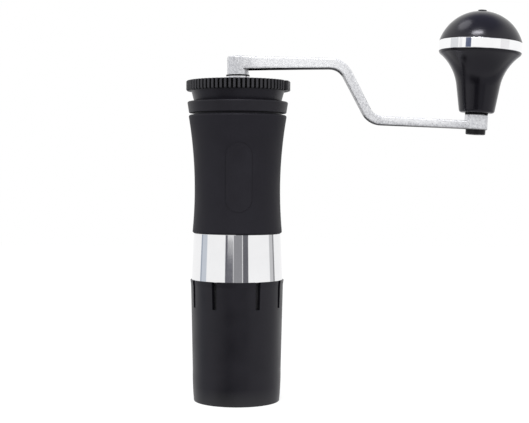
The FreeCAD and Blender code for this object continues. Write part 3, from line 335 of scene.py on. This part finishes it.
def paint_rib_groove_shade(made, rim):
    """Paints shade on a ribbed finish: darker and less shiny on the upright walls of the grooves inside a
    rim round the axis.
    """
    tree = made.node_tree
    shader = tree.nodes["Principled BSDF"]
    flat = own_place(tree, (1, 1, 0))
    radius = add(tree, "ShaderNodeVectorMath", {0: flat}, operation="LENGTH").outputs["Value"]
    fade_in = between(tree, radius, 0, 1, *(rim - inset for inset in GROOVE_IN))
    fade_out = between(tree, radius, 1, 0, *(rim - inset for inset in GROOVE_OUT))
    level = add(tree, "ShaderNodeMath", {0: upward(tree)}, operation="ABSOLUTE").outputs[0]
    # painted shade: the walls inside the grooves turn near black and less shiny, standing in for shadow in
    # the grooves
    painted_groove_shade = times(tree, times(tree, fade_in, fade_out), between(tree, level, 1, 0, *GROOVE_WALL))
    skin = shader.inputs["Base Color"].links[0].from_socket
    feed(tree, shader.inputs["Base Color"], tint(tree, painted_groove_shade, skin, GROOVE_PAINTED_SHADE))
    specular = shader.inputs["Specular IOR Level"]
    feed(tree, specular, between(tree, painted_groove_shade, specular.default_value, GROOVE_SHADE_SPECULAR, 0, 1))


def darkening_and_painted_shade(tree):
    """How much darker the crank's casting is along the arm, plus painted shade on the lower flank of its
    lower run.
    """
    reach, _, height = own_axes(tree)
    ramp = add(tree, "ShaderNodeValToRGB", {0: between(tree, reach, 0, 1, 0, ARM_END)})
    stops = ramp.color_ramp.elements
    stops[0].color = (HUB_DARKENING, HUB_DARKENING, HUB_DARKENING, 1)
    stops[1].color = (END_DARKENING, END_DARKENING, END_DARKENING, 1)
    for place, share in ARM_DARKENING.items():
        stops.new(place / ARM_END).color = (share, share, share, 1)
    level = plus(tree, height, times(tree, reach, LOW_RUN_FALL))
    # painted shade: the lower flank of the lower run is darkened, standing in for the shade that falls
    # there
    painted_flank_shade = between(tree, level, 1, 0, LOW_RUN_LEVEL + FLANK_SHADE_FULL, LOW_RUN_LEVEL + FLANK_SHADE_END)
    return plus(tree, ramp.outputs[0], times(tree, painted_flank_shade, FLANK_PAINTED_SHADE))


def underside_shade_colour(tree):
    """The colour of the painted shade on the crank's underside, darkest beside the hub and paler toward the
    knob.
    """
    reach = own_axes(tree)[0]
    inner = tint(tree, between(tree, reach, 0, 1, *HUB_TO_BENDS), UNDERSIDE_SHADE_AT_HUB, UNDERSIDE_SHADE_AT_BENDS)
    return tint(tree, between(tree, reach, 0, 1, *BENDS_TO_KNOB), inner, UNDERSIDE_SHADE_AT_KNOB)


def cast_alloy(name):
    """Tumbled cast alloy: mottled skin with small pits, soft dents, darker stretches along the arm, and
    painted shade on the lower flank and the underside.
    """
    made, tree, shader = start_material(name, {})
    mottle = grain(tree, MOTTLE_TO_METRE, 5.0)
    speckle = grain(tree, SPECKLE_TO_METRE, 3.0)
    dents = grain(tree, DENTS_TO_METRE, 2.0)
    spots = plus(tree, times(tree, mottle, MOTTLE_SHARE), times(tree, speckle, 1 - MOTTLE_SHARE))
    share = between(tree, spots, 0, 1, *SPOT_RANGE)
    plain_tone = tint(tree, share, *PLAIN_ALLOY)
    darker_and_shaded_tone = tint(tree, share, *DARKER_AND_SHADED_ALLOY)
    toned_and_shaded = tint(tree, darkening_and_painted_shade(tree), plain_tone, darker_and_shaded_tone)
    frayed = plus(tree, upward(tree), times(tree, mottle, UNDERSIDE_FRAY))
    # painted shade: faces that look down turn dark and lose metal and specular, standing in for the shadow
    # under the arm
    painted_underside_shade = between(tree, frayed, 1, 0, *UNDERSIDE)
    feed(tree, shader.inputs["Base Color"], tint(tree, painted_underside_shade, toned_and_shaded, underside_shade_colour(tree)))
    feed(tree, shader.inputs["Metallic"], between(tree, painted_underside_shade, ALLOY_METALLIC, 0, 0, 1))
    feed(tree, shader.inputs["Specular IOR Level"], between(tree, painted_underside_shade, ALLOY_SPECULAR, 0, 0, 1))
    feed(tree, shader.inputs["Roughness"], between(tree, mottle, *ALLOY_ROUGHNESS))
    skin = relief(tree, speckle, SPECKLE_DEPTH)
    feed(tree, shader.inputs["Normal"], relief(tree, dents, DENT_DEPTH, skin))
    return made


def lid_rim():
    """The radius of the lid's ribs, on the half that has no lug."""
    corners = [corner.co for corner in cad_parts["hopper_lid"].data.vertices]
    return max(math.hypot(corner.x, corner.y) for corner in corners if corner.x < 0)


def make_finishes():
    """Every material, by its name."""
    finishes = {name: moulded(name, *look) for name, look in MOULDED.items()}
    finishes.update({name: polished(name, *look) for name, look in POLISHED.items()})
    finishes.update({name: machined(name, *look) for name, look in MACHINED.items()})
    finishes["arm_alloy"] = cast_alloy("arm_alloy")
    paint_foot_bounce_light(finishes["cup_plastic"])
    paint_rib_groove_shade(finishes["lid_plastic"], lid_rim())
    return finishes


def dress_nodes():
    """Gives every node its finish."""
    finishes = make_finishes()
    for finish, names in WEARERS.items():
        for name in names:
            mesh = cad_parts[name].data
            mesh.materials.clear()
            mesh.materials.append(finishes[finish])


def ray_angles(tree):
    """The bearing and height in degrees that a ray leaves in."""
    way = add(tree, "ShaderNodeTexCoord").outputs["Generated"]
    parts = add(tree, "ShaderNodeSeparateXYZ", {0: way}).outputs
    toward = times(tree, parts[1], -1.0)
    angle = add(tree, "ShaderNodeMath", {0: parts[0], 1: toward}, operation="ARCTAN2").outputs[0]
    climb = add(tree, "ShaderNodeMath", {0: parts[2]}, operation="ARCSINE").outputs[0]
    return times(tree, angle, math.degrees(1)), times(tree, climb, math.degrees(1))


def walls_and_ceiling(tree, height, ceiling):
    """White walls that fade into a ceiling of a colour."""
    return tint(tree, between(tree, height, 0, 1, CEILING_START, CEILING_END), WALL, ceiling)


def studio_colour(tree, bearing, height):
    """The studio's walls, ceiling and darker things, as they are mirrored."""
    colour = walls_and_ceiling(tree, height, CEILING)
    for first, last, foot, top, fade, shade in STUDIO_STRIPES.values():
        across = times(tree, between(tree, bearing, 0, 1, first - STRIPE_EDGE, first),
                       between(tree, bearing, 1, 0, last, last + STRIPE_EDGE))
        upright = times(tree, between(tree, height, 0, 1, foot - fade, foot),
                        between(tree, height, 1, 0, top - fade, top))
        colour = tint(tree, times(tree, across, upright), colour, shade)
    return colour


def make_world():
    """Plain white to the camera, the studio to what shines, and soft light to the rest."""
    world = bpy.data.worlds.new("studio")
    bpy.context.scene.world = world
    world.use_nodes = True
    tree = world.node_tree
    tree.nodes.clear()
    bearing, height = ray_angles(tree)
    mirrored = add(tree, "ShaderNodeBackground", {0: studio_colour(tree, bearing, height)}).outputs[0]
    soft = add(tree, "ShaderNodeBackground", {0: walls_and_ceiling(tree, height, SOFT_CEILING)}).outputs[0]
    plain = add(tree, "ShaderNodeBackground", {0: WHITE}).outputs[0]
    ray = add(tree, "ShaderNodeLightPath").outputs
    rays = {0: ray["Is Glossy Ray"], 1: ray["Is Transmission Ray"]}
    shiny = add(tree, "ShaderNodeMath", rays, operation="MAXIMUM").outputs[0]
    lit = add(tree, "ShaderNodeMixShader", {0: shiny, 1: soft, 2: mirrored}).outputs[0]
    seen = add(tree, "ShaderNodeMixShader", {0: ray["Is Camera Ray"], 1: lit, 2: plain}).outputs[0]
    output = add(tree, "ShaderNodeOutputWorld")
    feed(tree, output.inputs["Surface"], seen)


def floor_material():
    """White to the camera apart from the shadow, and a dimmer surface to the light that bounces."""
    made = bpy.data.materials.new("floor_white")
    made.use_nodes = True
    tree = made.node_tree
    tree.nodes.clear()
    shadow = add(tree, "ShaderNodeBsdfDiffuse", {0: FLOOR_CATCH}).outputs[0]
    glow = add(tree, "ShaderNodeEmission", {0: WHITE, 1: FLOOR_GLOW}).outputs[0]
    white = add(tree, "ShaderNodeAddShader", {0: shadow, 1: glow}).outputs[0]
    bounce = add(tree, "ShaderNodeBsdfDiffuse", {0: FLOOR_BOUNCE}).outputs[0]
    seen = add(tree, "ShaderNodeLightPath").outputs["Is Camera Ray"]
    mixed = add(tree, "ShaderNodeMixShader", {0: seen, 1: bounce, 2: white}).outputs[0]
    output = add(tree, "ShaderNodeOutputMaterial")
    feed(tree, output.inputs["Surface"], mixed)
    return made


def make_floor():
    """A pale floor that keeps the shadow and melts into the white."""
    mesh = bpy.data.meshes.new("floor")
    half = FLOOR_HALF
    corners = [(-half, -half, 0), (half, -half, 0), (half, half, 0), (-half, half, 0)]
    mesh.from_pydata(corners, [], [(0, 1, 2, 3)])
    mesh.materials.append(floor_material())
    floor = bpy.data.objects.new("floor", mesh)
    bpy.context.scene.collection.objects.link(floor)
    floor.visible_glossy = False


def softbox(name, bearing, height, distance, width, depth, power, mirrored):
    """An oval lamp at a bearing and height in degrees, turned to the middle of the grinder."""
    light = bpy.data.lights.new(name, "AREA")
    light.shape = "ELLIPSE"
    light.size = width
    light.size_y = depth
    light.energy = power
    lamp = bpy.data.objects.new(name, light)
    around = math.radians(bearing)
    climb = math.radians(height)
    level = math.cos(climb)
    way = Vector((math.sin(around) * level, -math.cos(around) * level, math.sin(climb)))
    lamp.location = LAMP_AIM + way * distance
    lamp.rotation_euler = way.to_track_quat("Z", "Y").to_euler()
    lamp.visible_glossy = mirrored
    bpy.context.scene.collection.objects.link(lamp)


def make_camera():
    """The camera where the photographer's stood, at the same angle."""
    data = bpy.data.cameras.new("camera")
    data.sensor_width = SENSOR_WIDTH
    data.sensor_fit = "HORIZONTAL"
    data.lens = SENSOR_WIDTH * FOCAL_PIXELS / IMAGE_WIDTH
    camera = bpy.data.objects.new("camera", data)
    bpy.context.scene.collection.objects.link(camera)
    aim = Matrix.Rotation(math.pi / 2 - LOOK_DOWN, 4, "X") @ Matrix.Rotation(CAMERA_ROLL, 4, "Z")
    camera.matrix_world = Matrix.Translation(CAMERA_PLACE) @ aim
    bpy.context.scene.camera = camera


bpy.context.scene.view_settings.view_transform = "Standard"
dress_nodes()
make_world()
make_floor()
for lamp_name, lamp_values in LAMPS.items():
    softbox(lamp_name, *lamp_values)
make_camera()
